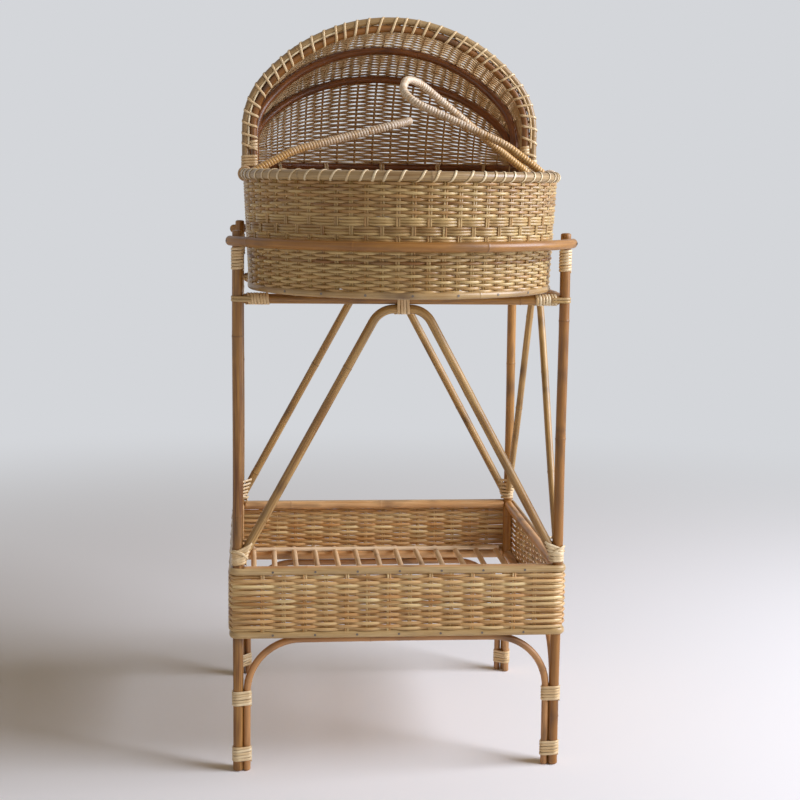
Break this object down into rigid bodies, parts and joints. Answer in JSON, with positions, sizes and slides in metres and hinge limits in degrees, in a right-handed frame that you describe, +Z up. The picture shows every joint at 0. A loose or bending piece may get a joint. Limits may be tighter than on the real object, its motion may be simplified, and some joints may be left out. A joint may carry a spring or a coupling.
{
  "type": "moses basket with stand",
  "caption": "Oval wicker baby basket with a fixed hood and swinging carry handles, resting on a rattan stand with bowed end hoops, braces and a slatted woven tray.",
  "frame": {"origin": "centre of the stand's footprint, on the floor", "axes": "+Z up, +Y towards the hood (head end), -Y towards the foot end, +X to the right seen from the foot end"},
  "size_m": [0.4982, 0.791, 1.1044],
  "materials": {
    "pole": "satin lacquered rattan pole",
    "brown_pole": "satin lacquered rattan pole",
    "rib": "satin stained rattan pole",
    "cane": "satin peeled cane",
    "slat": "matt peeled cane",
    "peel": "glossy split cane peel",
    "weave": "satin woven willow",
    "handle": "glossy split cane peel",
    "nail": "dull steel"
  },
  "bodies": {
    "stand": {"post_front_left": "pole", "post_front_right": "pole", "post_back_left": "pole", "post_back_right": "pole", "hoop_front": "pole", "crossbar_front": "pole", "hoop_back": "pole", "crossbar_back": "pole", "side_rail_left": "pole", "side_rail_right": "pole", "brace_front": "pole", "leg_arch_front": "pole", "tray_top_rail_front": "brown_pole", "tray_bottom_rail_front": "brown_pole", "tray_panel_front": "weave", "brace_back": "pole", "leg_arch_back": "pole", "tray_top_rail_back": "brown_pole", "tray_bottom_rail_back": "brown_pole", "tray_panel_back": "weave", "brace_left": "pole", "leg_arch_left": "pole", "tray_top_rail_left": "brown_pole", "tray_bottom_rail_left": "brown_pole", "tray_panel_left": "weave", "brace_right": "pole", "leg_arch_right": "pole", "tray_top_rail_right": "brown_pole", "tray_bottom_rail_right": "brown_pole", "tray_panel_right": "weave", "tray_edging_top": "cane", "tray_edging_bottom": "cane", "tray_slats": "slat", "post_top_bindings": "peel", "crossbar_loops": "peel", "crossbar_bindings": "peel", "brace_apex_bindings": "peel", "brace_foot_lashings": "peel", "leg_bindings_lower": "peel", "leg_bindings_upper": "peel", "hoop_nails": "nail", "tray_nails": "nail"},
    "basket": {"basket_wall": "weave", "basket_floor": "weave", "basket_rim": "cane", "basket_base_rod": "cane", "basket_nails": "nail", "hood_shell": "weave", "hood_arch_outer": "cane", "hood_arch_inner": "brown_pole", "hood_rib_front": "rib", "hood_rib_rear": "rib", "hood_base_rail": "rib", "hood_foot_bindings": "peel"},
    "handle_left": {"handle_left": "handle", "handle_left_eyes": "handle"},
    "handle_right": {"handle_right": "handle", "handle_right_eyes": "handle"}
  },
  "joints": [
    {"name": "basket_lift", "type": "slide", "parent": "stand", "child": "basket", "axis": [0, 0, 1], "range_m": [0, 0.2]},
    {"name": "handle_left_fold", "type": "hinge", "parent": "basket", "child": "handle_left", "pos_m": [-0.222, -0.086, 0.8661], "axis": [0, -1, 0], "range_deg": [0, 200]},
    {"name": "handle_right_fold", "type": "hinge", "parent": "basket", "child": "handle_right", "pos_m": [0.222, -0.086, 0.8661], "axis": [0, 1, 0], "range_deg": [0, 188]}
  ]
}
